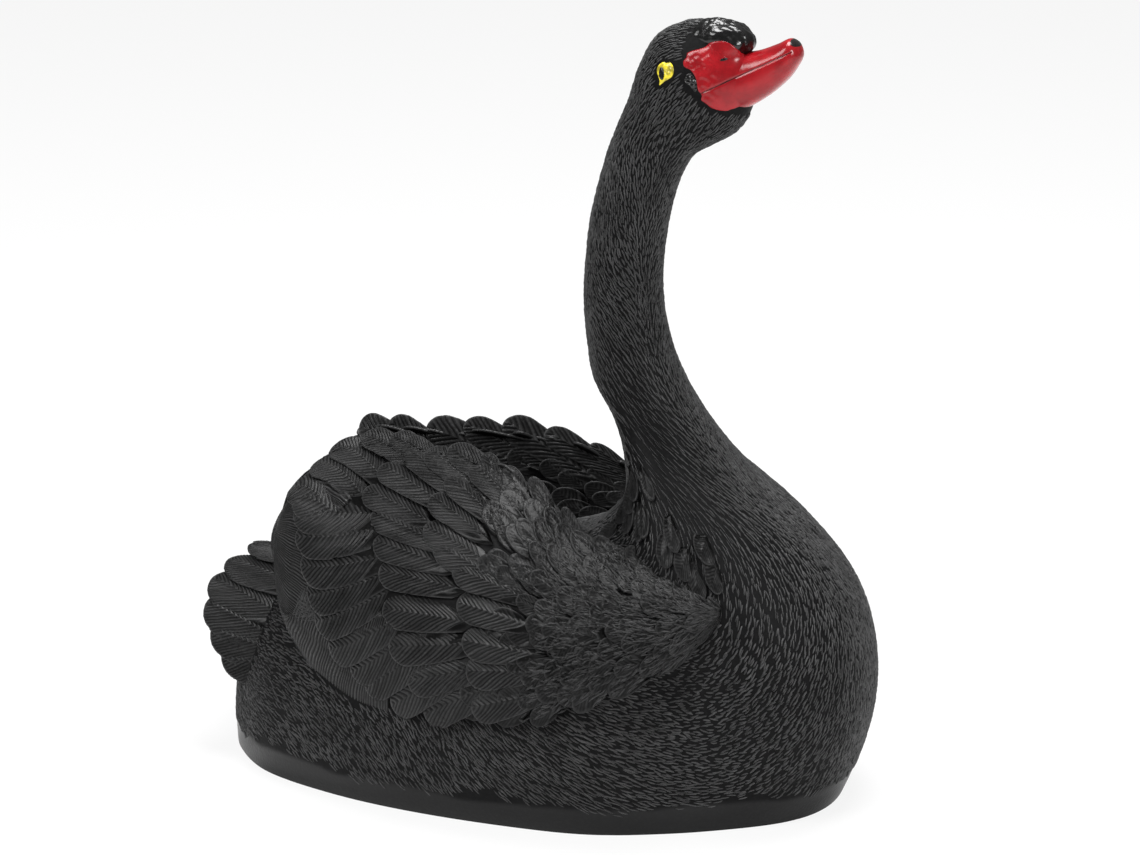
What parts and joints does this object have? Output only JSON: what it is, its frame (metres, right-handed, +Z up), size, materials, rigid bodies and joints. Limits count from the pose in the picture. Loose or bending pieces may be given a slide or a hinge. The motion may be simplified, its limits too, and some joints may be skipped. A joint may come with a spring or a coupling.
{
  "type": "swan figurine",
  "caption": "Cast figurine of a resting black swan with raised, feathered wings, a curved neck and a red bill, on a flat base.",
  "frame": {"origin": "on the floor, at the middle of the flat base", "axes": "+X towards the breast and the bill, +Y towards the swan's left wing, +Z up"},
  "size_m": [0.3026, 0.1827, 0.3398],
  "materials": {
    "black_paint": "satin",
    "red_paint": "gloss",
    "yellow_paint": "gloss"
  },
  "bodies": {
    "root": {"swan_casting": "black_paint"}
  },
  "joints": []
}
